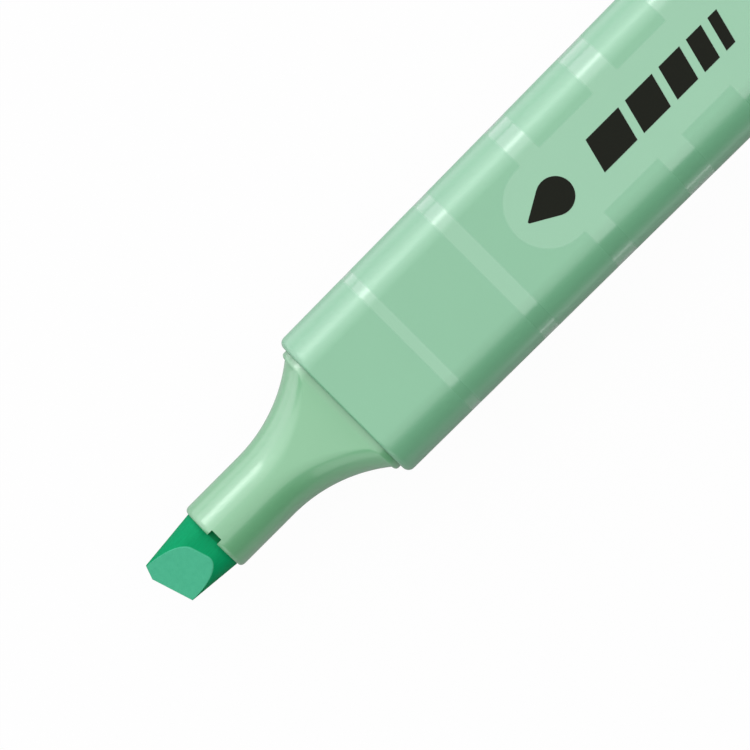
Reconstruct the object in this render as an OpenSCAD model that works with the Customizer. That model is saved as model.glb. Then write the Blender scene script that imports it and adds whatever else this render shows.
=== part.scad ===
// Flat highlighter pen with a round nozzle, a chisel nib and a clip cap posted on its tail.
// The pen lies on its lower flat face, nib towards -X. Dimensions are in millimetres.

/* [Barrel] */
// Width of the barrel at its front shoulder
shoulder_w = 17.7; // [16.5:0.1:20]
// Width gained for each millimetre towards the tail
draft = 0.018; // [0.006:0.002:0.024]
// Thickness between the two flat faces
body_t = 13; // [12.6:0.1:14.5]
// Radius of the four long edges
edge_r = 4.3; // [3.8:0.1:5]
// Length from the shoulder to the tail plug
barrel_len = 84.5; // [70:0.5:100]
// Wall of the barrel
wall = 1.15; // [1:0.05:1.3]

/* [Front section] */
// Distance from the shoulder to the mouth of the nozzle
nose_len = 17.8; // [17:0.1:22]
// Outer diameter of the nozzle
nozzle_d = 7.75; // [7.7:0.05:8.2]
// Length of the straight nozzle in front of the flare
nozzle_len = 7.6; // [6:0.1:8.5]
// Width of the breather notch in the nozzle's mouth
notch_w = 1.3; // [0.8:0.1:1.8]

/* [Nib] */
// Length of nib that shows in front of the nozzle
nib_out = 6.9; // [6:0.1:7.5]
// Width of the nib in the nozzle
nib_w = 6.7; // [6.4:0.05:6.7]
// Thickness of the nib
nib_t = 5.4; // [5:0.1:5.5]
// Slant of the writing edge, in degrees
nib_slant = 17.5; // [0:0.5:25]
// Thickness left at the writing edge
nib_edge_t = 1.4; // [0.8:0.1:2]

/* [Ink reservoir] */
// Outer diameter of the wrapped fibre rod
reservoir_d = 8.6; // [7.6:0.1:8.6]

/* [Cap] */
// Length of the cap
cap_len = 42; // [41:1:50]
// Wall of the cap
cap_wall = 1; // [0.9:0.05:1]
// Length of tail that the posted cap covers
post_len = 8.5; // [7:0.5:9.5]
// Width of the clip's arm
clip_w = 6.4; // [5:0.1:7]
// Thickness of the clip's arm
clip_t = 1.4; // [1.2:0.1:1.5]

/* [Hidden] */
$fn = 72;
eps = 0.1; // overshoot of every cut

pastel = [0.59, 0.78, 0.65];
fit = 0.05; // clearance between parts that are pushed together
axis_z = body_t / 2;
draft_angle = atan(draft / 2);
flange_len = 1.5;
tail_x = barrel_len + flange_len;
pen_min_x = -nose_len - nib_out;
pen_max_x = tail_x + cap_len;
mid_x = (pen_min_x + pen_max_x) / 2;

// Barrel inside
socket_len = 9.5;
socket_wall = 1.5;
rib_t = 1;
rib_r = reservoir_d / 2 + 0.1;
rib_from = 12;
rib_end_gap = 0.3;
rib_root = 0.3; // how far each rib sinks into the barrel's wall
plug_in = 8;
plug_hollow_r = reservoir_d / 2 - 0.55;
plug_end_wall = 1.3;
reservoir_from = 1.2;
reservoir_to = barrel_len - 6;
snap_x = 5.5;
snap_len = 1;
snap_h = 0.25;
snap_w = 7;

// Nose
land_len = 0.7;
land_inset = cap_wall + fit;
step = 0.13; // rise of the flare above the nozzle
flare_inset = 0.55; // how far the flare's wide end stays inside the land, at each side
flare_sink = 0.05; // the same over each flat face
flare_from = -nose_len + nozzle_len;
flare_to = -land_len + 0.2;
arc_share = 0.64; // part of a quarter circle that the flare's profile takes
flare_rings = 12;
corner_steps = 8;
bore_clear = 0.05;
chamber_from = -8.5;
cup_r = reservoir_d / 2 + fit;
cup_stop = 0.35; // ledge that the reservoir's end rests on
notch_depth = 0.65;
spigot_len = socket_len - 0.5;

// Nib
nib_corner_r = 2.4;
nib_taper = 0.094; // lean of each side of the nib, in front of the nozzle
nib_shank_r = 2.6;
nib_shank_from = -8.8;
nib_tail_x = 6.4;
nib_point_len = 2;
nib_point_r = 1.2;
nib_long_y = 1.35; // where the writing edge reaches furthest forward
nib_clip_x = 0.5; // how far back the clipped corner runs
bevel_run = 4.4; // length of each bevel, square to the writing edge

// Reservoir
film_t = 0.1;

// Cap, with its mouth at x = 0 and its closed end towards -X
cap_end_wall = 1.2;
cap_end_r = 4;
cap_end_edge_r = 2;
seal_r = nozzle_d / 2 + fit;
seal_wall = 0.85;
seal_from = -13.5;
seal_to = -30;
stem_r = 2;
stem_boss_r = 3.2;
stem_boss_len = 5;
vent = [1.2, 3.2];
vent_y = 5;

// Clip
pivot = [-cap_len + 3.4, body_t + 1.35];
knuckle_r = 1.1;
saddle_r = knuckle_r + fit;
saddle_back = 2.6;
saddle_front = 0.8;
saddle_over = 0.8;
cheek_t = 1;
saddle_sink = 0.6; // how deep the saddle reaches into the cap's wall
clip_toe_x = -5.5;
clip_toe_w = 5.2;
toe_bump_x = -8;
toe_bump_rise = 0.3; // centre of the bump's curve above the arm's underside
toe_bump_w = clip_toe_w - 0.8;

// Printed marks
print_t = 0.03;
drop_x = 27.9;
drop_r = 1.9;
bars_x = 33.5;
bar_gap = 0.9;
bar_h = 3.5;
bar_lean = 0.9;
bar_widths = [4.4, 3.6, 2.8, 2, 1.2];

// Stands the pen on z = 0, with the middle of its length over the origin.
module placed() translate([-mid_x, 0, axis_z]) children();

// Moves a cap part from the cap's own place, in front of the shoulder, to its post on the tail.
module posted() translate([tail_x, 0, 0]) rotate([0, 0, 180]) children();

// Turns an outline drawn across the pen into a bar along X.
module along_x(from, to) translate([from, 0, 0]) rotate([90, 0, 90]) linear_extrude(to - from) children();

// One side of the pen's outline: a bar of width w and thickness t with radius r on its outer edges.
module half_outline(w, t, r, past_middle = 1) {
    translate([-past_middle, -t / 2]) square([w / 2 - r + past_middle, t]);
    translate([-past_middle, -t / 2 + r]) square([w / 2 + past_middle, t - 2 * r]);
    for (side = [-1, 1]) translate([w / 2 - r, side * (t / 2 - r)]) circle(r);
}

// The barrel's drafted shape between two stations, drawn in from its outside by inset.
module drafted(from, to, inset) {
    reach = 20;
    intersection() {
        translate([from, -reach, -reach]) cube([to - from, 2 * reach, 2 * reach]);
        for (side = [0, 1]) mirror([0, side, 0]) rotate([0, 0, draft_angle])
            along_x(from - 1, to + 1)
                half_outline(shoulder_w - 2 * inset, body_t - 2 * inset, edge_r - inset);
    }
}

module barrel() {
    color(pastel) {
        difference() {
            drafted(0, barrel_len, 0);
            drafted(-eps, socket_len + eps, socket_wall);
            drafted(socket_len, barrel_len + eps, wall);
            snap_bars(snap_x, socket_wall - snap_h - fit, snap_len + 2 * fit, snap_w + 2 * fit);
        }
        barrel_ribs();
    }
}

// Four ribs that hold the reservoir on the pen's axis.
module barrel_ribs() {
    side_reach = (shoulder_w + draft * barrel_len) / 2 - wall + rib_root;
    flat_reach = body_t / 2 - wall + rib_root;
    rib_len = barrel_len - plug_in - rib_end_gap - rib_from;
    for (side = [-1, 1]) {
        translate([rib_from, side > 0 ? rib_r : -side_reach, -rib_t / 2])
            cube([rib_len, side_reach - rib_r, rib_t]);
        translate([rib_from, -rib_t / 2, side > 0 ? rib_r : -flat_reach])
            cube([rib_len, rib_t, flat_reach - rib_r]);
    }
}

// Bars across both flat faces, from the inset depth inwards: the snap ridges and their grooves.
module snap_bars(x, inset, len, w) {
    for (side = [0, 1]) mirror([0, 0, side])
        translate([x - len / 2, -w / 2, body_t / 2 - inset - 1]) cube([len, w, 1]);
}

// An ink drop and a row of bars as wide as the strokes that the chisel nib draws.
module barrel_print() {
    color([0.12, 0.15, 0.11])
        translate([0, 0, body_t / 2]) linear_extrude(print_t) {
            hull() {
                translate([drop_x + 0.7, 0]) circle(drop_r);
                translate([drop_x - 2.8, 0]) circle(0.15, $fn = 16);
            }
            for (i = [0 : len(bar_widths) - 1])
                translate([bars_x + bar_start(i), 0]) slanted_bar(bar_widths[i]);
        }
}

function bar_start(i) = i == 0 ? 0 : bar_start(i - 1) + bar_widths[i - 1] + bar_gap;

module slanted_bar(w) polygon([
    [0, -bar_h / 2], [w, -bar_h / 2], [w + bar_lean, bar_h / 2], [bar_lean, bar_h / 2]]);

// Points of a rounded rectangle with half sizes a and b and corner radius r, in order.
function ring_points(x, a, b, r) = [
    for (corner = [0 : 3], i = [0 : corner_steps])
        let (angle = 90 * (corner + i / corner_steps),
             cy = (corner == 0 || corner == 3 ? 1 : -1) * (a - r),
             cz = (corner < 2 ? 1 : -1) * (b - r))
        [x, cy + r * cos(angle), cz + r * sin(angle)]];

// The flare: an arc in plan from the nozzle to the shoulder land, and a shallower one in side view.
function flare_share(f) = 1 - sqrt(1 - pow(arc_share * f, 2));
function flare_full(f, from, to) = from + (to - from) * flare_share(f) / flare_share(1);
flare_start_r = nozzle_d / 2 + step;
flare_end_a = shoulder_w / 2 - land_inset - flare_inset;
flare_end_b = body_t / 2 - land_inset - flare_sink;
flare_points = [
    for (k = [0 : flare_rings])
        let (f = k / flare_rings,
             x = flare_from + (flare_to - flare_from) * f,
             a = flare_full(f, flare_start_r, flare_end_a),
             b = flare_full(f, flare_start_r, flare_end_b),
             r = min(b - 0.05, flare_start_r - 0.05))
        each ring_points(x, a, b, r)];

module flare() {
    n = 4 * (corner_steps + 1);
    polyhedron(flare_points, [
        [for (i = [0 : n - 1]) i],
        for (k = [0 : flare_rings - 1], i = [0 : n - 1])
            let (j = (i + 1) % n)
            [k * n + i, (k + 1) * n + i, (k + 1) * n + j, k * n + j],
        [for (i = [n - 1 : -1 : 0]) flare_rings * n + i]]);
}

// Outline of the nib, or of its bore with a clearance all round: a bar with rounded corners.
module nib_outline(clear = 0) {
    w = nib_w + 2 * clear;
    t = nib_t + 2 * clear;
    r = nib_corner_r + clear;
    square([w - 2 * r, t], center = true);
    square([w, t - 2 * r], center = true);
    for (y = [-1, 1], z = [-1, 1]) translate([y * (w / 2 - r), z * (t / 2 - r)]) circle(r);
}

module front_section() {
    color(pastel) difference() {
        union() {
            along_x(-nose_len, flare_from + 1) circle(d = nozzle_d);
            flare();
            drafted(-land_len, 0, land_inset);
            drafted(-eps, spigot_len, socket_wall + fit);
            snap_bars(snap_x, socket_wall - snap_h, snap_len, snap_w);
        }
        along_x(-nose_len - eps, chamber_from + eps)
            nib_outline(bore_clear);
        rotate([0, 90, 0]) translate([0, 0, chamber_from])
            cylinder(h = 1 - chamber_from, r1 = nib_t / 2 + bore_clear, r2 = cup_r - cup_stop);
        along_x(1, socket_len) circle(cup_r);
        translate([-nose_len - eps, -notch_w / 2, -nozzle_d])
            cube([notch_depth + eps, notch_w, 2 * nozzle_d]);
    }
}

// Plan of the nib: tapered sides, a slanted writing edge and one clipped corner.
module nib_plan() {
    mouth_x = -nose_len;
    half = nib_w / 2;
    tip_x = pen_min_x;
    clip_x = tip_x + nib_clip_x;
    function side_at(x) = half - max(0, mouth_x - x) * nib_taper;
    short_x = tip_x + (side_at(tip_x + 1.3) + nib_long_y) * tan(nib_slant);
    polygon([
        [nib_shank_from, half], [mouth_x, half],
        [clip_x, side_at(clip_x)], [tip_x, nib_long_y],
        [short_x, -side_at(short_x)],
        [mouth_x, -half], [nib_shank_from, -half]]);
}

// Side view of the nib, square to the writing edge: two bevels that end in a narrow land.
module nib_side() {
    half = nib_t / 2 + eps;
    bevel_to = bevel_run * (half - nib_edge_t / 2) / (half - eps - nib_edge_t / 2);
    back = nose_len + nib_out;
    polygon([
        [0, -nib_edge_t / 2], [bevel_to, -half], [back, -half],
        [back, half], [bevel_to, half], [0, nib_edge_t / 2]]);
}

module nib() {
    color([0.06, 0.65, 0.4]) {
        intersection() {
            along_x(pen_min_x - 1, nib_shank_from) nib_outline();
            translate([0, 0, -nib_t]) linear_extrude(2 * nib_t) nib_plan();
            translate([pen_min_x, nib_long_y, 0]) rotate([0, 0, nib_slant])
                translate([0, 2 * nib_w, 0]) rotate([90, 0, 0]) linear_extrude(4 * nib_w) nib_side();
        }
        rotate([0, 90, 0]) {
            translate([0, 0, nib_shank_from - eps])
                cylinder(h = nib_tail_x - nib_point_len - nib_shank_from + eps, r = nib_shank_r);
            translate([0, 0, nib_tail_x - nib_point_len])
                cylinder(h = nib_point_len, r1 = nib_shank_r, r2 = nib_point_r);
        }
    }
}

module reservoir_core() {
    core_r = reservoir_d / 2 - film_t - 0.02;
    color([0.35, 0.75, 0.55]) difference() {
        along_x(reservoir_from, reservoir_to) circle(core_r);
        along_x(reservoir_from - eps, nib_tail_x + fit) circle(nib_shank_r + fit);
    }
}

module reservoir_film() {
    color([0.9, 0.92, 0.9]) along_x(reservoir_from, reservoir_to) difference() {
        circle(d = reservoir_d);
        circle(d = reservoir_d - 2 * film_t);
    }
}

module tail_plug() {
    spigot_from = barrel_len - plug_in;
    color(pastel) difference() {
        union() {
            drafted(barrel_len, tail_x, 0);
            drafted(spigot_from, barrel_len + eps, wall + fit);
            posted() drafted(-post_len, eps, land_inset);
        }
        along_x(spigot_from - eps, reservoir_to + 0.3) circle(cup_r);
        along_x(spigot_from + 1, tail_x + post_len - plug_end_wall) circle(plug_hollow_r);
    }
}

// Plan of the cap's closed end, drawn in by inset.
module cap_plan(inset) {
    half = shoulder_w / 2 - inset;
    r = cap_end_r - inset;
    end_x = -cap_len + inset;
    end_half = half - cap_len * draft / 2;
    for (side = [-1, 1]) translate([end_x + r, side * (end_half - r)]) circle(r);
    translate([end_x, -end_half + r]) square([cap_len, 2 * (end_half - r)]);
    translate([end_x + r, -half - 1]) square([cap_len, 2 * half + 2]);
}

// Side view of the cap's closed end, drawn in by inset.
module cap_side(inset) {
    half = body_t / 2 - inset;
    r = cap_end_edge_r - inset / 2;
    end_x = -cap_len + inset;
    for (side = [-1, 1]) translate([end_x + r, side * (half - r)]) circle(r);
    translate([end_x, -half + r]) square([cap_len, 2 * (half - r)]);
    translate([end_x + r, -half]) square([cap_len, 2 * half]);
}

module cap_form(mouth_x, inset) intersection() {
    drafted(-cap_len + inset, mouth_x, inset);
    translate([0, 0, -body_t]) linear_extrude(2 * body_t) cap_plan(inset);
    translate([0, shoulder_w, 0]) rotate([90, 0, 0]) linear_extrude(2 * shoulder_w) cap_side(inset);
}

// Block on the cap's end that the clip's knuckle snaps into.
module clip_saddle() {
    half_w = clip_w / 2 + fit + cheek_t;
    top_z = pivot[1] - axis_z + saddle_r + saddle_over;
    translate([pivot[0] - saddle_back, -half_w, axis_z - saddle_sink])
        cube([saddle_back + saddle_front, 2 * half_w, top_z - axis_z + saddle_sink]);
}

module cap_shell() {
    color(pastel) posted() difference() {
        union() {
            difference() {
                cap_form(0, 0);
                cap_form(eps, cap_end_wall);
                drafted(seal_from, eps, cap_wall);
            }
            along_x(-cap_len + cap_end_wall - 0.2, -cap_len + cap_end_wall + stem_boss_len)
                circle(stem_boss_r);
            clip_saddle();
        }
        along_x(-cap_len + cap_end_wall, 0) circle(stem_r + 0.02);
        translate([pivot[0], clip_w / 2 + fit, pivot[1] - axis_z]) rotate([90, 0, 0])
            cylinder(h = clip_w + 2 * fit, r = saddle_r);
        for (side = [-1, 1])
            translate([-cap_len - eps, side * vent_y - vent[0] / 2, -vent[1] / 2])
                cube([cap_end_wall + 1, vent[0], vent[1]]);
    }
}

module cap_seal_cup() {
    color([0.93, 0.95, 0.93]) posted() difference() {
        union() {
            along_x(seal_to, seal_from) circle(seal_r + seal_wall);
            along_x(-cap_len + cap_end_wall + fit, seal_to + eps) circle(stem_r);
        }
        along_x(seal_to + 1, seal_from + eps) circle(seal_r);
    }
}

module pocket_clip() {
    arm_z = pivot[1] - axis_z - clip_t / 2;
    color(pastel) posted() {
        translate([0, 0, arm_z]) linear_extrude(clip_t) hull() {
            translate([clip_toe_x - clip_toe_w / 2, 0]) circle(d = clip_toe_w);
            translate([pivot[0], -clip_w / 2]) square([1, clip_w]);
        }
        translate([pivot[0], clip_w / 2, pivot[1] - axis_z]) rotate([90, 0, 0])
            cylinder(h = clip_w, r = knuckle_r);
        intersection() {
            translate([toe_bump_x, clip_toe_w / 2, arm_z + toe_bump_rise]) rotate([90, 0, 0])
                cylinder(h = clip_toe_w, r = arm_z + toe_bump_rise - axis_z - fit);
            translate([toe_bump_x - clip_toe_w, -toe_bump_w / 2, axis_z])
                cube([2 * clip_toe_w, toe_bump_w, clip_t]);
        }
    }
}

placed() barrel();
placed() barrel_print();
placed() front_section();
placed() nib();
placed() reservoir_core();
placed() reservoir_film();
placed() tail_plug();
placed() cap_shell();
placed() cap_seal_cup();
placed() pocket_clip();
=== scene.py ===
"""Looks of the flat highlighter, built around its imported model. Lengths are in metres."""

import math

import bmesh
import bpy
from mathutils import Matrix, Vector


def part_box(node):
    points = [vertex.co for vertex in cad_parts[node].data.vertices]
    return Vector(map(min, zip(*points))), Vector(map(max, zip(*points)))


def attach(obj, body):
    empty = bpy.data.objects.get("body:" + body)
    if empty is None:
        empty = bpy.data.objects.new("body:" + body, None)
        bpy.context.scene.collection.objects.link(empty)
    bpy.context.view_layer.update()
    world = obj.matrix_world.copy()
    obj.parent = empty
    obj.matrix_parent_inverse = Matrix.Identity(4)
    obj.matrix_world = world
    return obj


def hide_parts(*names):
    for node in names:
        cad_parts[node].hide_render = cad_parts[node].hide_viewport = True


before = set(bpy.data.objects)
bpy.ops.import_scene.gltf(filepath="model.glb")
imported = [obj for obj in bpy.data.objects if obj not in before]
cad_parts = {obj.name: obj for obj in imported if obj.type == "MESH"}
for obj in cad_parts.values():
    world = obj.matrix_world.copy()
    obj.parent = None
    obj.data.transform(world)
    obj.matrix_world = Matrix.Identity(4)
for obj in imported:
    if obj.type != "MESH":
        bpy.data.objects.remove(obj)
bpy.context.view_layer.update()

MM = 0.001
scene = bpy.context.scene

# ---------------------------------------------------------------- measures taken from the imported model

barrel_low, barrel_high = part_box("barrel")
nose_low, nose_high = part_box("front_section")
nib_low, nib_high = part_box("nib")
plug_low, plug_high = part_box("tail_plug")
cap_low, cap_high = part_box("cap_shell")
cup_low, cup_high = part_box("cap_seal_cup")
clip_low, clip_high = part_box("pocket_clip")

SHOULDER_X = barrel_low.x
TAIL_X = barrel_high.x
MOUTH_X = nose_low.x
TIP_X = nib_low.x
POST_X = cap_low.x  # the posted cap's mouth
CAP_END_X = cap_high.x
AXIS_Z = (barrel_low.z + barrel_high.z) / 2
HALF_T = (barrel_high.z - barrel_low.z) / 2
TAIL_HALF_W = barrel_high.y
SHOULDER_HALF_W = cap_high.y
NOZZLE_R = 3.875 * MM
EDGE_R = 4.3 * MM
DRAFT = (TAIL_HALF_W - SHOULDER_HALF_W) / (TAIL_X - SHOULDER_X)

# ---------------------------------------------------------------- mesh making

SIDES = 96  # edges round a section
ROD_SIDES = 48


def verts_of(geometry):
    """The vertices among an operator's results."""
    return [item for item in geometry if isinstance(item, bmesh.types.BMVert)]


def edges_of(geometry):
    """The edges among an operator's results."""
    return [item for item in geometry if isinstance(item, bmesh.types.BMEdge)]


def edges_round(verts):
    """Every edge that ends at one of the vertices."""
    return list({edge for vert in verts for edge in vert.link_edges})


def reshape(verts, old, new):
    """Moves a section's vertices from one (x, half width, half thickness, corner radius) to the next."""
    _, old_w, old_t, old_r = old
    x, half_w, half_t, radius = new
    for vert in verts:
        y, z = vert.co.y, vert.co.z - AXIS_Z
        out_y = (abs(y) - old_w) / old_r + 1
        out_z = (abs(z) - old_t) / old_r + 1
        vert.co.x = x
        vert.co.y = math.copysign(half_w + radius * (out_y - 1), y)
        vert.co.z = AXIS_Z + math.copysign(half_t + radius * (out_z - 1), z)


def loft(bm, sections, closed=False):
    """Extrudes a rounded section through a row of others, and back to the first if it is closed."""
    start = (sections[0][0], MM, MM, MM)
    place = Matrix.Translation((start[0], 0, AXIS_Z)) @ Matrix.Rotation(math.pi / 2, 4, "Y")
    half_step = Matrix.Rotation(math.pi / SIDES, 4, "Z")
    verts = bmesh.ops.create_circle(bm, segments=SIDES, radius=MM, matrix=place @ half_step)["verts"]
    edges = edges_round(verts)
    reshape(verts, start, sections[0])
    if not closed:
        bmesh.ops.edgeloop_fill(bm, edges=edges)
    row = sections + sections[:1] if closed else sections
    for old, new in zip(row, row[1:]):
        grown = bmesh.ops.extrude_edge_only(bm, edges=edges)["geom"]
        verts = set(verts_of(grown))
        edges = [edge for edge in edges_of(grown) if verts.issuperset(edge.verts)]
        reshape(verts, old, new)
    if not closed:
        bmesh.ops.edgeloop_fill(bm, edges=edges)


def arc(x, inset, radius, start, stop, steps):
    """Points (x, inset) along a rounding about a centre. Degrees run from +x towards a larger inset."""
    turns = [math.radians(start + (stop - start) * step / steps) for step in range(steps + 1)]
    return [(x + radius * math.cos(turn), inset + radius * math.sin(turn)) for turn in turns]


def rounding(depth, radius):
    """How far a rounded edge has fallen away at that depth behind the end face."""
    return radius - math.sqrt(radius**2 - max(0, radius - max(0, depth)) ** 2)


def pen_sections(points):
    """Sections of the drafted barrel's outline, drawn in by each point's inset."""
    return [
        (
            x,
            SHOULDER_HALF_W + DRAFT * (x - SHOULDER_X) - inset,
            HALF_T - inset,
            EDGE_R - inset,
        )
        for x, inset in points
    ]


def cap_sections(points):
    """Sections of the posted cap's outline, drawn in by each point's inset."""
    return [
        (
            x,
            SHOULDER_HALF_W - DRAFT * (x - POST_X) - inset,
            HALF_T - inset,
            EDGE_R - inset,
        )
        for x, inset in points
    ]


def round_sections(points):
    """Sections of a turned shape on the pen's axis, from points (x, radius)."""
    return [(x, radius, radius, radius) for x, radius in points]


def closed_up(bm):
    """Merges doubles and turns every face outwards."""
    bmesh.ops.remove_doubles(bm, verts=bm.verts, dist=MM / 5000)
    bmesh.ops.recalc_face_normals(bm, faces=bm.faces)
    return bm


def loose_object(name, bm):
    """Makes a mesh an object and frees the bmesh."""
    mesh = bpy.data.meshes.new(name)
    bm.to_mesh(mesh)
    bm.free()
    made = bpy.data.objects.new(name, mesh)
    scene.collection.objects.link(made)
    return made


def combine(bm, tool, operation):
    """The union or difference of two closed meshes, as a new mesh."""
    base = loose_object("base", closed_up(bm))
    other = loose_object("tool", closed_up(tool))
    cut = base.modifiers.new("cut", "BOOLEAN")
    cut.operation = operation
    cut.solver = "EXACT"
    cut.object = other
    result = bmesh.new()
    result.from_object(base, bpy.context.evaluated_depsgraph_get())
    for used in (base, other):
        bpy.data.meshes.remove(used.data)
    return result


def round_off(bm, edges, radius, segments):
    """Rounds edges off."""
    bmesh.ops.bevel(
        bm, geom=edges, offset=radius, segments=segments, profile=0.5, affect="EDGES", material=-1
    )


def block(low, high, radius, segments):
    """A box between two corners, with every edge rounded."""
    bm = bmesh.new()
    size = Vector(high) - Vector(low)
    middle = (Vector(high) + Vector(low)) / 2
    place = Matrix.Translation(middle) @ Matrix.Diagonal((*size, 1))
    verts = bmesh.ops.create_cube(bm, size=1, matrix=place)["verts"]
    round_off(bm, edges_round(verts), radius, segments)
    return bm


def crosswise_rod(x, z, radius, length):
    """A cylinder across the pen, along Y."""
    bm = bmesh.new()
    place = Matrix.Translation((x, 0, z)) @ Matrix.Rotation(math.pi / 2, 4, "X")
    bmesh.ops.create_cone(
        bm, cap_ends=True, segments=ROD_SIDES, radius1=radius, radius2=radius, depth=length, matrix=place
    )
    return bm


def finished(name, bm, body, slot, material, *nodes, crease=35):
    """Makes the piece an object, smooth up to the crease angle, on its body and in place of its nodes."""
    made = loose_object(name, closed_up(bm))
    made.data.shade_smooth()
    made.data.set_sharp_from_angle(angle=math.radians(crease))
    made.data.materials.append(material)
    normals = made.modifiers.new("even_normals", "WEIGHTED_NORMAL")
    normals.keep_sharp = True
    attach(made, body)
    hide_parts(*nodes)


# ---------------------------------------------------------------- shader making


class Value:
    """A socket in a shader. Arithmetic on it adds Math nodes."""

    def __init__(self, shader, socket):
        self.shader = shader
        self.socket = socket

    def math(self, operation, *others):
        return self.shader.math(operation, self, *others)

    def __add__(self, other):
        return self.math("ADD", other)

    def __sub__(self, other):
        return self.math("SUBTRACT", other)

    def __rsub__(self, other):
        return self.shader.math("SUBTRACT", other, self)

    def __mul__(self, other):
        return self.math("MULTIPLY", other)

    def __truediv__(self, other):
        return self.math("DIVIDE", other)

    def __pow__(self, other):
        return self.math("POWER", other)

    def __abs__(self):
        return self.math("ABSOLUTE")

    __radd__ = __add__
    __rmul__ = __mul__


class Shader:
    """A node material written as expressions."""

    def __init__(self, name):
        self.material = bpy.data.materials.new(name)
        self.material.use_nodes = True
        self.tree = self.material.node_tree
        self.tree.nodes.clear()
        self.place = self.node("ShaderNodeTexCoord", output="Object")
        parts = self.node("ShaderNodeSeparateXYZ", {}, {0: self.place}).socket.node
        self.x, self.y, self.z = [Value(self, socket) for socket in parts.outputs]

    def node(self, kind, settings=None, sockets=None, output=0):
        """Adds a node: its settings first, then the values or links of its sockets."""
        made = self.tree.nodes.new(kind)
        for name, value in (settings or {}).items():
            setattr(made, name, value)
        for name, value in (sockets or {}).items():
            if isinstance(value, Value):
                self.tree.links.new(value.socket, made.inputs[name])
            else:
                made.inputs[name].default_value = value
        return Value(self, made.outputs[output])

    def math(self, operation, *values):
        return self.node("ShaderNodeMath", {"operation": operation}, dict(enumerate(values)))

    def mix(self, share, first, second):
        """A colour between two others. A Mix node's colours are its inputs 6 and 7 and its output 2."""
        return self.node("ShaderNodeMix", {"data_type": "RGBA"}, {0: share, 6: first, 7: second}, 2)

    def rise(self, value, low, high):
        """0 below low, 1 above high, and smooth between them."""
        limits = {"Value": value, "From Min": low, "From Max": high}
        return self.node("ShaderNodeMapRange", {"interpolation_type": "SMOOTHSTEP"}, limits)

    def noise(self, size, detail, stretch=(1, 1, 1)):
        """Noise from 0 to 1 with features of that size, drawn out along the axes by stretch."""
        scale = tuple(1 / (size * part) for part in stretch)
        spread = self.node("ShaderNodeMapping", {}, {"Vector": self.place, "Scale": scale})
        return self.node("ShaderNodeTexNoise", {}, {"Vector": spread, "Scale": 1.0, "Detail": detail})

    def bump(self, height, depth):
        """Normals of a surface that a height from 0 to 1 raises by depth."""
        return self.node("ShaderNodeBump", {}, {"Height": height, "Distance": depth, "Strength": 1.0})

    def done(self, **sockets):
        """Ends the material in a Principled shader with these sockets."""
        named = {name.replace("_", " "): value for name, value in sockets.items()}
        surface = self.node("ShaderNodeBsdfPrincipled", {}, named)
        end = self.tree.nodes.new("ShaderNodeOutputMaterial")
        self.tree.links.new(surface.socket, end.inputs["Surface"])
        return self.material


def paint(red, green, blue):
    """A linear colour from display values of 0 to 255."""
    levels = [level / 255 for level in (red, green, blue)]
    linear = [level / 12.92 if level < 0.04045 else ((level + 0.055) / 1.055) ** 2.4 for level in levels]
    return (*linear, 1)


# ---------------------------------------------------------------- finishes

PASTEL = paint(86, 137, 104)
PASTEL_DEEP = paint(83, 133, 101)
FRONT_PASTEL = paint(79, 134, 94)
FRONT_DEEP = paint(76, 130, 91)
SEAL_WHITE = paint(238, 242, 238)
SEAL_DEEP = paint(228, 234, 229)

BAND_FIRST = 9.2 * MM  # centre of the first glossy band, behind the shoulder
BAND_PITCH = 10.15 * MM
BAND_HALF = 0.58 * MM  # half the first band's width
BAND_GROWTH = 0.34 * MM  # gained by each half width from band to band
LAST_BAND = 7
PANEL_FROM = 23.3 * MM
PANEL_TO = 78.5 * MM
PANEL_HALF = 4.35 * MM
BLUR = 0.05 * MM  # softness of a printed or moulded border

PLASTIC_IOR = 1.58
SOAKED_IOR = 1.12  # ink fills the pores, so little shines
INK_IOR = 1.15
SCUFF_SIZE = 0.5 * MM
ALONG_PEN = (9, 1, 1)  # stretch of the scuffs


def band_mask(s):
    """1 on the glossy bands round the barrel, which grow wider towards the tail."""
    along = s.x - SHOULDER_X - BAND_FIRST
    number = (along / BAND_PITCH).math("ROUND").math("MINIMUM", LAST_BAND).math("MAXIMUM", 0)
    off_centre = abs(along - number * BAND_PITCH)
    return s.rise(number * BAND_GROWTH + BAND_HALF - off_centre, -BLUR, BLUR)


def panel_mask(s):
    """1 on the round-ended panel behind the printed mark, on the upper face."""
    before = (SHOULDER_X + PANEL_FROM + PANEL_HALF - s.x).math("MAXIMUM", 0)
    behind = (s.x - (SHOULDER_X + PANEL_TO - PANEL_HALF)).math("MAXIMUM", 0)
    reach = ((before + behind) ** 2 + s.y**2).math("SQRT")
    upper = s.rise(s.z, AXIS_Z, AXIS_Z + HALF_T / 2)
    return s.rise(PANEL_HALF - reach, -BLUR, BLUR) * upper


def barrel_finish():
    """Satin plastic with clear varnish on the bands and on the panel."""
    s = Shader("satin_pastel_barrel")
    varnish = band_mask(s).math("MAXIMUM", panel_mask(s))
    cloudy = s.noise(9 * MM, 2.0)
    grain = s.noise(0.16 * MM, 2.0)
    scuffs = s.rise(s.noise(SCUFF_SIZE, 4.0, ALONG_PEN), 0.62, 0.8)
    satin = 0.31 + 0.06 * (grain - 0.5) + 0.08 * scuffs
    polished = 0.2 + 0.06 * scuffs
    return s.done(
        Base_Color=s.mix(cloudy, PASTEL_DEEP, PASTEL),
        Roughness=satin * (1 - varnish) + polished * varnish,
        Coat_Weight=0.65 * varnish,
        Coat_Roughness=0.22,
        Normal=s.bump(grain * (1 - 0.9 * varnish) + 0.6 * varnish, 0.003 * MM),
        IOR=PLASTIC_IOR,
    )


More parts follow.
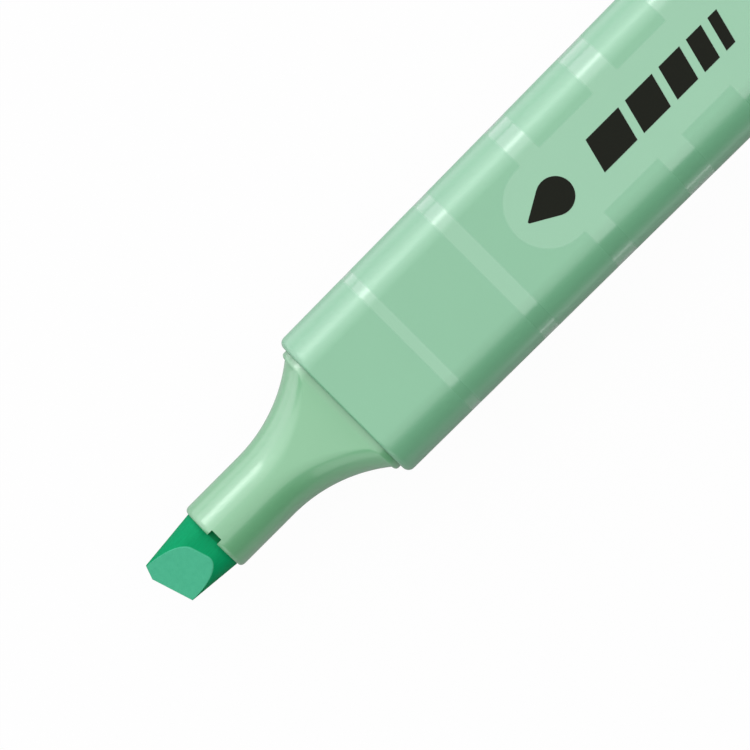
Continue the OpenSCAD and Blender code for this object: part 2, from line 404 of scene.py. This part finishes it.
def plastic_finish(name, colour, deep, rough, grain_depth, gloss=0.0):
    """Moulded plastic with a cloudy colour, fine grain, faint scuffs and a share of sharper gloss."""
    s = Shader(name)
    grain = s.noise(0.18 * MM, 2.0)
    scuffs = s.rise(s.noise(SCUFF_SIZE, 4.0, ALONG_PEN), 0.6, 0.9)
    return s.done(
        Base_Color=s.mix(s.noise(7 * MM, 2.0), deep, colour),
        Roughness=rough + 0.06 * (grain - 0.5) + 0.05 * scuffs,
        Coat_Weight=gloss,
        Coat_Roughness=0.13,
        Normal=s.bump(grain, grain_depth),
        IOR=PLASTIC_IOR,
    )


NIB_SLANT = math.radians(17.5)
NIB_LONG_Y = 1.35 * MM  # where the slanted edge reaches furthest
NIB_EDGE_HALF_T = 0.7 * MM  # half the writing edge's thickness
NIB_HALF_T = (nib_high.z - nib_low.z) / 2
NIB_HALF_W = (nib_high.y - nib_low.y) / 2
NIB_CORNER = 2.4 * MM
BEVEL_RUN = 4.4 * MM  # length of each bevel behind the edge
BEVEL_LEAN = math.atan2(NIB_HALF_T - NIB_EDGE_HALF_T, BEVEL_RUN)


def nib_finish():
    """Ink-soaked fibre: fine strands along the nib, paler cut ends on its two bevels that also carry a
    painted reflection of the light above, and painted shade where the nib sits inside the nozzle.
    """
    s = Shader("soaked_fibre_nib")
    strands = s.noise(0.09 * MM, 3.0, (14, 1, 1))
    mottle = s.noise(0.5 * MM, 4.0)
    back = (s.x - TIP_X) * math.cos(NIB_SLANT) + (s.y - NIB_LONG_Y) * math.sin(NIB_SLANT)
    height = abs(s.z - AXIS_Z) - NIB_EDGE_HALF_T
    depth = (back * math.sin(BEVEL_LEAN) - height * math.cos(BEVEL_LEAN)) * (1 / MM)
    cut = s.rise(depth, 0.09, 0.03)
    soaked = s.mix(strands, paint(0, 104, 62), paint(2, 120, 74))
    # The cut ends are paler, and this lighter colour also paints in the reflection of the light above the
    # tip.
    cut_ends_and_painted_sheen = s.mix(mottle, paint(50, 131, 99), paint(60, 142, 109))
    # Painted shade: the nib turns dark green where it lies inside the nozzle's mouth, standing in for the
    # nozzle's shadow.
    painted_shade_in_nozzle = s.rise(s.x, MOUTH_X - 0.05 * MM, MOUTH_X + 0.15 * MM)
    return s.done(
        Base_Color=s.mix(painted_shade_in_nozzle, s.mix(cut, soaked, cut_ends_and_painted_sheen), paint(0, 92, 50)),
        Roughness=0.62 + 0.2 * (mottle - 0.5) + 0.12 * cut,
        Normal=s.bump(strands * 0.7 + mottle * 0.3, 0.015 * MM),
        IOR=SOAKED_IOR,
    )


def ink_finish():
    """Dark printing ink, worn a little lighter in places."""
    s = Shader("printed_ink")
    wear = s.noise(0.25 * MM, 4.0)
    return s.done(
        Base_Color=s.mix(wear, paint(8, 11, 5), paint(16, 19, 11)),
        Roughness=0.45 + 0.2 * wear,
        Normal=s.bump(wear, 0.004 * MM),
        IOR=INK_IOR,
    )


def film_finish():
    """Thin film with wrinkles along the pen."""
    s = Shader("wrapping_film")
    wrinkles = s.noise(1.2 * MM, 3.0, (6, 1, 1))
    return s.done(
        Base_Color=s.mix(wrinkles, paint(226, 230, 226), paint(244, 246, 244)),
        Roughness=0.2 + 0.15 * wrinkles,
        Normal=s.bump(wrinkles, 0.05 * MM),
    )


def tow_finish():
    """A bundle of fibres along the pen, soaked with ink."""
    s = Shader("soaked_fibre_tow")
    strands = s.noise(0.12 * MM, 3.0, (30, 1, 1))
    return s.done(
        Base_Color=s.mix(strands, paint(70, 170, 120), paint(130, 210, 165)),
        Roughness=0.6 + 0.3 * strands,
        Normal=s.bump(strands, 0.05 * MM),
    )


BARREL = barrel_finish()
FRONT = plastic_finish(
    "glossy_pastel_front", FRONT_PASTEL, FRONT_DEEP, rough=0.38, grain_depth=0.001 * MM, gloss=0.5
)
CAP = plastic_finish("satin_pastel_cap", PASTEL, PASTEL_DEEP, rough=0.3, grain_depth=0.003 * MM)
SEAL = plastic_finish(
    "natural_seal_plastic", SEAL_WHITE, SEAL_DEEP, rough=0.35, grain_depth=0.004 * MM
)
NIB = nib_finish()

# ---------------------------------------------------------------- barrel

WALL = 1.15 * MM
PARTING = 0.02 * MM  # chamfer on each side of a parting line
LAND_INSET = 1.05 * MM  # of the land and of the stub, from the barrel's outline


def barrel():
    """The drafted tube, open at both ends, with a rounded rim at its shoulder."""
    side_rim = 0.75 * MM
    face_rim = 0.3 * MM
    steps = 10
    stations = [
        SHOULDER_X + side_rim * (1 - math.sin(math.pi / 2 * step / steps)) for step in range(steps + 1)
    ]
    front_out = [
        (
            x,
            SHOULDER_HALF_W - rounding(x - SHOULDER_X, side_rim),
            HALF_T - rounding(x - SHOULDER_X, face_rim),
            EDGE_R - rounding(x - SHOULDER_X, face_rim),
        )
        for x in stations[::-1]
    ]
    front_in = [(SHOULDER_X, LAND_INSET - PARTING), (SHOULDER_X + PARTING, LAND_INSET)]
    back_in = [(TAIL_X - PARTING, WALL), (TAIL_X, WALL - PARTING)]
    back_out = arc(TAIL_X - PARTING, PARTING, PARTING, 0, -90, 3)
    bm = bmesh.new()
    inside = pen_sections(back_out[::-1] + back_in[::-1] + front_in[::-1])
    loft(bm, front_out + inside, closed=True)
    finished("barrel_shell", bm, "pen", "pastel_barrel", BARREL, "barrel")


barrel()

# ---------------------------------------------------------------- front section

LAND_LEN = 0.7 * MM
FLARE_R = 16 * MM
FLARE_FROM = SHOULDER_X - 10.6 * MM
FLARE_LEN = SHOULDER_X - LAND_LEN - FLARE_FROM
LAND_STEP = 0.55 * MM  # the land's overhang past the flare, at each side
BROW_RUN = 0.4 * MM  # length of the rounding from the flare out to the land
FLARE_HALF_W = SHOULDER_HALF_W - LAND_INSET - LAND_STEP
FLARE_HALF_T = HALF_T - LAND_INSET
LAND_CORNER = EDGE_R - LAND_INSET
FLARE_CORNER = LAND_CORNER - LAND_STEP
SPIGOT_FROM = SHOULDER_X + 0.2 * MM
SPIGOT_INSET = 1.6 * MM
RESERVOIR_ROOM_R = 4.35 * MM
THROAT_R = 4 * MM
THROAT_LEN = 8.4 * MM  # of the cone from the shoulder down to the nib's bore
BORE_FROM = SHOULDER_X - 8.5 * MM
BORE_CLEAR = 0.06 * MM  # round the nib
NOTCH_HALF_W = 0.65 * MM
NOTCH_LEN = 0.65 * MM
NOTCH_ROUNDING = 0.06 * MM


def flare_rise(run):
    """How far the flare's arc in plan has risen after that run."""
    return FLARE_R - math.sqrt(FLARE_R**2 - run**2)


def flare_section(x):
    """A section of the concave flare, which is an arc in plan and a shallower one in side view."""
    share = flare_rise(x - FLARE_FROM) / flare_rise(FLARE_LEN)
    half_w = NOZZLE_R + share * (FLARE_HALF_W - NOZZLE_R)
    half_t = NOZZLE_R + share * (FLARE_HALF_T - NOZZLE_R)
    return (x, half_w, half_t, NOZZLE_R + share * (FLARE_CORNER - NOZZLE_R))


def outer_front():
    """Sections of the front moulding's outside: mouth, flare, brow, land and spigot."""
    lip = 0.36 * MM
    lip_len = 0.55 * MM
    turns = [math.radians(15 * step) for step in range(1, 7)]
    mouth = [
        (MOUTH_X + lip_len * (1 - math.cos(turn)), NOZZLE_R - lip * (1 - math.sin(turn)))
        for turn in turns
    ]
    steps = 28
    flare = [flare_section(FLARE_FROM + FLARE_LEN * step / steps) for step in range(steps + 1)]
    brow = [
        (
            SHOULDER_X - LAND_LEN + BROW_RUN * (1 - math.cos(turn)),
            FLARE_HALF_W + LAND_STEP * math.sin(turn),
            FLARE_HALF_T,
            FLARE_CORNER + LAND_STEP * math.sin(turn),
        )
        for turn in turns
    ]
    land = pen_sections([(SHOULDER_X - PARTING, LAND_INSET), (SHOULDER_X, LAND_INSET + PARTING)])
    spigot = pen_sections([(SPIGOT_FROM, SPIGOT_INSET), (nose_high.x, SPIGOT_INSET)])
    return round_sections(mouth) + flare + brow + land + spigot


def inner_front():
    """Sections of its inside, from the reservoir's room back to the nib's bore at the mouth."""
    throat = [
        (nose_high.x, RESERVOIR_ROOM_R),
        (SHOULDER_X + MM, RESERVOIR_ROOM_R),
        (SHOULDER_X + MM, THROAT_R),
        (SHOULDER_X - THROAT_LEN, NIB_HALF_T + BORE_CLEAR),
    ]
    bore = [
        (x, NIB_HALF_W + BORE_CLEAR, NIB_HALF_T + BORE_CLEAR, NIB_CORNER + BORE_CLEAR)
        for x in (BORE_FROM, MOUTH_X)
    ]
    return round_sections(throat) + bore


def front_section():
    """The front moulding, with a small breather notch in its mouth."""
    bm = bmesh.new()
    loft(bm, outer_front() + inner_front(), closed=True)
    notch = block(
        (MOUTH_X - MM, -NOTCH_HALF_W, AXIS_Z),
        (MOUTH_X + NOTCH_LEN, NOTCH_HALF_W, AXIS_Z + 2 * NOZZLE_R),
        NOTCH_ROUNDING,
        2,
    )
    bm = combine(bm, notch, "DIFFERENCE")
    finished("front_moulding", bm, "pen", "pastel_front", FRONT, "front_section")


front_section()

# ---------------------------------------------------------------- nib

NIB_TAPER = 0.094  # lost by each half width per length towards the tip
NIB_SHANK_R = 2.6 * MM
CLIPPED_LEN = 0.5 * MM
NIB_ROUNDING = 0.07 * MM
NIB_CRISP = math.radians(14)  # edges sharper than this are rounded


def trim(bm, point, normal):
    """Cuts away everything on the normal's side of a plane and closes the cut."""
    everything = bm.verts[:] + bm.edges[:] + bm.faces[:]
    cut = bmesh.ops.bisect_plane(bm, geom=everything, plane_co=point, plane_no=normal, clear_outer=True)
    bmesh.ops.edgeloop_fill(bm, edges=edges_of(cut["geom_cut"]))


def nib_bar():
    """The nib before it is cut: a blade that widens from the tip, and a round shank."""
    ahead = 1.2 * MM  # extra length, which the cuts take off
    out = MOUTH_X - TIP_X + ahead
    steps = 10
    blade = [
        (MOUTH_X - out * step / steps, NIB_HALF_W - NIB_TAPER * out * step / steps, NIB_HALF_T, NIB_CORNER)
        for step in range(steps, -1, -1)
    ]
    blade_end = SHOULDER_X - 8.8 * MM
    point_len = 2 * MM
    point_r = 1.2 * MM
    shank = round_sections(
        [(blade_end, NIB_SHANK_R), (nib_high.x - point_len, NIB_SHANK_R), (nib_high.x, point_r)]
    )
    bm = bmesh.new()
    loft(bm, blade + [(blade_end, NIB_HALF_W, NIB_HALF_T, NIB_CORNER)] + shank)
    return bm


def nib():
    """The bar, cut to its slanted writing edge, its two bevels and its clipped corner."""
    bm = nib_bar()
    edge = Vector((TIP_X, NIB_LONG_Y, AXIS_Z))
    turn = Matrix.Rotation(NIB_SLANT, 3, "Z")
    trim(bm, edge, turn @ Vector((-1, 0, 0)))
    for side in (1, -1):
        lean = Vector((-math.sin(BEVEL_LEAN), 0, side * math.cos(BEVEL_LEAN)))
        trim(bm, edge + Vector((0, 0, side * NIB_EDGE_HALF_T)), turn @ lean)
    corner = Vector((TIP_X + CLIPPED_LEN, NIB_HALF_W - NIB_TAPER * (MOUTH_X - TIP_X), AXIS_Z))
    run = (corner - edge).normalized()
    trim(bm, corner, Vector((-run.y, run.x, 0)))
    closed_up(bm)
    crisp = [
        rim
        for rim in bm.edges
        if len(rim.link_faces) == 2
        and rim.calc_face_angle() > NIB_CRISP
        and rim.verts[0].co.x < MOUTH_X
    ]
    bmesh.ops.bevel(
        bm,
        geom=crisp,
        offset=NIB_ROUNDING,
        segments=2,
        profile=0.5,
        affect="EDGES",
        material=-1,
        clamp_overlap=True,
    )
    finished("chisel_nib", bm, "pen", "nib_fibre", NIB, "nib", crease=50)


nib()

# ---------------------------------------------------------------- tail plug


def tail_plug():
    """A spigot inside the barrel's tail, a flange that shows, and the stub that takes the posted cap."""
    lead_in = 0.3 * MM
    fit = 0.05 * MM
    bevel = 0.22 * MM
    stub_end = 0.9 * MM
    spigot = [(plug_low.x, WALL + lead_in), (plug_low.x + lead_in, WALL + fit), (TAIL_X, WALL + fit)]
    flange = (
        arc(TAIL_X + bevel, bevel, bevel, 180, 270, 3)
        + arc(POST_X - bevel, bevel, bevel, 270, 360, 3)
    )
    stub = [(POST_X, LAND_INSET)]
    stub += arc(plug_high.x - stub_end, LAND_INSET + stub_end, stub_end, 270, 360, 5)
    bm = bmesh.new()
    loft(bm, pen_sections(spigot) + pen_sections(flange) + cap_sections(stub))
    finished("tail_plug_moulding", bm, "pen", "pastel_barrel", CAP, "tail_plug")


tail_plug()

# ---------------------------------------------------------------- cap and its seal cup

CAP_WALL = 1.0 * MM
CAP_END_WALL = 1.2 * MM
CAP_END_R = 4.0 * MM
CAP_END_EDGE_R = 2.0 * MM
CORNER_SHARE = 0.8  # how much of the end's rounding over the faces a corner's radius loses
STEM_R = 2 * MM

KNUCKLE_R = 1.1 * MM
SOCKET_R = 1.15 * MM
PIVOT = Vector((clip_high.x - KNUCKLE_R, 0, clip_high.z - KNUCKLE_R))
CLIP_HALF_W = clip_high.y
CLIP_GAP = 0.05 * MM  # between the clip and each cheek of its saddle
CHEEK = 1.0 * MM  # the saddle's thickness at each side of the clip
SADDLE_AHEAD = 0.8 * MM
SADDLE_BEHIND = 2.6 * MM
SADDLE_ROOT = 0.8 * MM  # how deep the saddle's block starts inside the cap
SADDLE_ROUNDING = 0.5 * MM
VENT_Y = 5 * MM
VENT_HALF_W = 0.6 * MM
VENT_HALF_H = 1.6 * MM
VENT_DEPTH = 2.2 * MM
VENT_ROUNDING = 0.25 * MM


def rounded_end(end_x, side_r, face_r, inset):
    """Sections that close the cap's end, rounded more at the sides than over the faces."""
    steps = 12
    made = []
    for step in range(steps + 1):
        x = end_x - side_r + side_r * math.sin(math.pi / 2 * step / steps)
        over = rounding(end_x - x, face_r)
        half_w = SHOULDER_HALF_W - DRAFT * (x - POST_X) - inset - rounding(end_x - x, side_r)
        made.append((x, half_w, HALF_T - inset - over, EDGE_R - inset - CORNER_SHARE * over))
    return made


def cap_tube():
    """The cap as a plain hollow moulding, closed at its end."""
    rim = 0.35 * MM
    lead_in = 0.15 * MM
    mouth = arc(POST_X + rim, rim, rim, 270, 180, 5)
    inner = [(POST_X, CAP_WALL - lead_in), (POST_X + lead_in, CAP_WALL), (cup_low.x, CAP_WALL)]
    outside = rounded_end(CAP_END_X, CAP_END_R, CAP_END_EDGE_R, 0)
    inside = rounded_end(CAP_END_X - CAP_END_WALL, CAP_END_R - CAP_END_WALL, MM, CAP_END_WALL)
    middle = cap_sections([(cup_low.x, CAP_END_WALL)] + inner[::-1] + mouth[::-1])
    bm = bmesh.new()
    loft(bm, inside[::-1] + middle + outside)
    return bm


def cap_shell():
    """The cap with the clip's saddle, the socket in it and two air vents."""
    half_w = CLIP_HALF_W + CLIP_GAP + CHEEK
    saddle = block(
        (PIVOT.x - SADDLE_AHEAD, -half_w, AXIS_Z + HALF_T - SADDLE_ROOT),
        (PIVOT.x + SADDLE_BEHIND, half_w, cap_high.z),
        SADDLE_ROUNDING,
        5,
    )
    bm = combine(cap_tube(), saddle, "UNION")
    socket = crosswise_rod(PIVOT.x, PIVOT.z, SOCKET_R, 2 * CLIP_HALF_W + 2 * CLIP_GAP)
    bm = combine(bm, socket, "DIFFERENCE")
    for side in (-1, 1):
        vent = block(
            (CAP_END_X - VENT_DEPTH, side * VENT_Y - VENT_HALF_W, AXIS_Z - VENT_HALF_H),
            (CAP_END_X + MM, side * VENT_Y + VENT_HALF_W, AXIS_Z + VENT_HALF_H),
            VENT_ROUNDING,
            3,
        )
        bm = combine(bm, vent, "DIFFERENCE")
    finished("cap_moulding", bm, "cap", "pastel_cap", CAP, "cap_shell")


cap_shell()


def seal_cup():
    """A turned cup that seals round the nozzle, on a stem from the cap's end."""
    outer = cup_high.y
    bore = NOZZLE_R + 0.05 * MM
    lip = 0.3 * MM
    corner = 0.4 * MM
    base = cup_low.x + 15.5 * MM
    back = base + MM
    profile = [
        (base, 0.5 * MM),
        (base, bore - corner),
        (base - corner, bore),
        (cup_low.x + 0.8 * MM, bore),
        (cup_low.x, bore + 0.35 * MM),
        (cup_low.x, outer - lip),
        (cup_low.x + lip, outer),
        (back - lip, outer),
        (back, outer - lip),
        (back, STEM_R),
        (cup_high.x, STEM_R),
        (cup_high.x, STEM_R / 2),
    ]
    bm = bmesh.new()
    loft(bm, round_sections(profile))
    finished("seal_cup", bm, "cap", "seal_plastic", SEAL, "cap_seal_cup")


seal_cup()

# ---------------------------------------------------------------- pocket clip

ARM_THICK = 1.4 * MM
ARM_ROUNDING = 0.42 * MM
TOE_R = 2.6 * MM
BUMP_FROM_TOE = 2.5 * MM
BUMP_SINK = 0.3 * MM  # how deep the bump's axis lies in the arm
BUMP_WIDTH = 4.2 * MM


def clip_arm(low_z):
    """A flat arm that is round at its toe and square at its root."""
    bm = bmesh.new()
    toe_x = clip_low.x + TOE_R
    place = Matrix.Translation((toe_x, 0, low_z))
    rim = bmesh.ops.create_circle(bm, cap_ends=True, segments=64, radius=TOE_R, matrix=place)["verts"]
    for vert in rim:
        if vert.co.x > toe_x + MM / 100:
            vert.co.x = PIVOT.x
            if abs(vert.co.y) > TOE_R / 2:
                vert.co.y = math.copysign(CLIP_HALF_W, vert.co.y)
    bmesh.ops.remove_doubles(bm, verts=bm.verts, dist=MM / 100)
    raised = verts_of(bmesh.ops.extrude_face_region(bm, geom=bm.faces[:])["geom"])
    bmesh.ops.translate(bm, verts=raised, vec=(0, 0, ARM_THICK))
    closed_up(bm)
    level = [edge for edge in bm.edges if abs(edge.verts[0].co.z - edge.verts[1].co.z) < MM / 1000]
    round_off(bm, level, ARM_ROUNDING, 5)
    return bm


def pocket_clip():
    """The arm, with a knuckle at its root and a bump under its toe."""
    low_z = PIVOT.z - ARM_THICK / 2
    bump_z = low_z + BUMP_SINK
    knuckle = crosswise_rod(PIVOT.x, PIVOT.z, KNUCKLE_R, 2 * CLIP_HALF_W)
    bump = crosswise_rod(clip_low.x + BUMP_FROM_TOE, bump_z, bump_z - clip_low.z, BUMP_WIDTH)
    bm = combine(clip_arm(low_z), knuckle, "UNION")
    bm = combine(bm, bump, "UNION")
    finished("clip_strip", bm, "clip", "pastel_cap", CAP, "pocket_clip")


pocket_clip()

# ---------------------------------------------------------------- finishes of the kept nodes

kept = {
    "barrel_print": ink_finish(),
    "reservoir_film": film_finish(),
    "reservoir_core": tow_finish(),
}
for node, material in kept.items():
    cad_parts[node].data.materials.clear()
    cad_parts[node].data.materials.append(material)

# ---------------------------------------------------------------- stage, lights and camera

FLOOR_WHITE_SHARE = 0.97
ROOM_DIM = 0.15  # what lights the object
ROOM_PALE = 0.97  # what the camera sees


def studio_light(tree, kind, strength):
    """A plain white emission or background of a given strength."""
    made = tree.nodes.new(kind)
    made.inputs["Color"].default_value = (1, 1, 1, 1)
    made.inputs["Strength"].default_value = strength
    return made.outputs[0]


def floor():
    """A pale floor, almost white to the camera, which lights the object only by what falls on it."""
    bm = bmesh.new()
    bmesh.ops.create_grid(bm, x_segments=1, y_segments=1, size=1.5)
    made = loose_object("floor", bm)
    s = Shader("pale_floor")
    speckle = s.noise(4 * MM, 3.0)
    material = s.done(
        Base_Color=s.mix(speckle, paint(158, 159, 158), paint(163, 164, 163)),
        Roughness=0.9,
    )
    tree = material.node_tree
    end = next(node for node in tree.nodes if node.type == "OUTPUT_MATERIAL")
    lit = end.inputs["Surface"].links[0].from_socket
    blend = tree.nodes.new("ShaderNodeMixShader")
    rays = tree.nodes.new("ShaderNodeLightPath")
    share = s.math("MULTIPLY", Value(s, rays.outputs["Is Camera Ray"]), FLOOR_WHITE_SHARE)
    tree.links.new(share.socket, blend.inputs[0])
    tree.links.new(lit, blend.inputs[1])
    tree.links.new(studio_light(tree, "ShaderNodeEmission", 1.0), blend.inputs[2])
    tree.links.new(blend.outputs[0], end.inputs["Surface"])
    made.data.materials.append(material)


floor()


def lamp(name, place, target, width, height, radiance, tint=(1, 1, 1), glossy_only=False):
    """A rectangular light of a given radiance, turned towards a point, its width along X."""
    data = bpy.data.lights.new(name, "AREA")
    data.shape = "RECTANGLE"
    data.size = width
    data.size_y = height
    data.energy = radiance * math.pi * width * height
    data.color = tint
    made = bpy.data.objects.new(name, data)
    made.location = place
    away = (Vector(place) - Vector(target)).normalized()
    side = Vector((1, 0, 0)) - away * away.x
    side.normalize()
    up = away.cross(side)
    made.rotation_euler = Matrix((side, up, away)).transposed().to_euler()
    made.visible_camera = False
    made.visible_diffuse = not glossy_only
    scene.collection.objects.link(made)


VIEW_X = SHOULDER_X + 4.4 * MM  # the point that the camera looks down on
LOOK = Vector((VIEW_X, 0, AXIS_Z))
COOL = (1.12, 0.91, 1.1)  # a little less green, for the lights at the object's +Y side
STRIP_AHEAD = Vector((0.1, 0, 0))
NOZZLE_AHEAD = Vector((0.07, 0, 0))
CARD_PLACE = Vector((-0.6, -0.48, 0.26))
BOUNCE_PLACE = Vector((0, 0.17, MM - AXIS_Z))  # just above the floor
BOUNCE_TARGET = Vector((0, 0.17, 0.1))
GLINT_PLACE = Vector((0.1, -0.037, MM - AXIS_Z))
GLINT_TARGET = Vector((0.1, -8 * MM, 0))


def leaning(degrees, far):
    """A point above the object, tilted from straight up towards +Y."""
    tilt = math.radians(degrees)
    return LOOK + far * Vector((0, math.sin(tilt), math.cos(tilt)))


lamp("overhead_softbox", leaning(7, 1.0), LOOK, width=2.2, height=1.8, radiance=2.3)
lamp("upper_side_softbox", leaning(36, 0.9), LOOK, width=2.2, height=0.6, radiance=1.1, tint=COOL)
lamp("side_softbox", leaning(70, 0.8) - STRIP_AHEAD, LOOK, width=2.4, height=0.5, radiance=3.0, tint=COOL)
lamp("corner_card", LOOK + CARD_PLACE, LOOK, width=0.6, height=0.42, radiance=1.7)
lamp(
    "highlight_strip",
    leaning(47, 0.6) + STRIP_AHEAD,
    LOOK + STRIP_AHEAD,
    width=0.4,
    height=0.12,
    radiance=5,
    glossy_only=True,
)
lamp(
    "nozzle_strip",
    leaning(56, 0.6) - NOZZLE_AHEAD,
    LOOK - NOZZLE_AHEAD,
    width=0.1,
    height=0.13,
    radiance=9,
    glossy_only=True,
)
lamp(
    "bounce_card",
    LOOK + BOUNCE_PLACE,
    LOOK + BOUNCE_TARGET,
    width=0.8,
    height=0.3,
    radiance=1.4,
    tint=COOL,
)
lamp(
    "table_edge_glint",
    LOOK + GLINT_PLACE,
    LOOK + GLINT_TARGET,
    width=0.18,
    height=0.004,
    radiance=1.8,
    glossy_only=True,
)


def studio_world():
    """A dim room that looks pale where the camera sees it directly."""
    world = bpy.data.worlds.new("studio")
    world.use_nodes = True
    tree = world.node_tree
    tree.nodes.clear()
    blend = tree.nodes.new("ShaderNodeMixShader")
    rays = tree.nodes.new("ShaderNodeLightPath")
    end = tree.nodes.new("ShaderNodeOutputWorld")
    tree.links.new(rays.outputs["Is Camera Ray"], blend.inputs[0])
    tree.links.new(studio_light(tree, "ShaderNodeBackground", ROOM_DIM), blend.inputs[1])
    tree.links.new(studio_light(tree, "ShaderNodeBackground", ROOM_PALE), blend.inputs[2])
    tree.links.new(blend.outputs[0], end.inputs["Surface"])
    scene.world = world


studio_world()
scene.view_settings.view_transform = "Standard"

CAMERA_UP = 0.473  # above the printed face
CAMERA_SPAN = 71.4 * MM  # what the camera takes in across that face
AXIS_TURN = math.radians(-45.02)
CAMERA_ASIDE = 0.1 * MM

camera_data = bpy.data.cameras.new("camera")
camera_data.sensor_width = 36
camera_data.lens = camera_data.sensor_width * CAMERA_UP / CAMERA_SPAN
camera_data.clip_end = 10
camera = bpy.data.objects.new("camera", camera_data)
camera.location = (VIEW_X, CAMERA_ASIDE, barrel_high.z + CAMERA_UP)
camera.rotation_euler = (0, 0, AXIS_TURN)
scene.collection.objects.link(camera)
scene.camera = camera
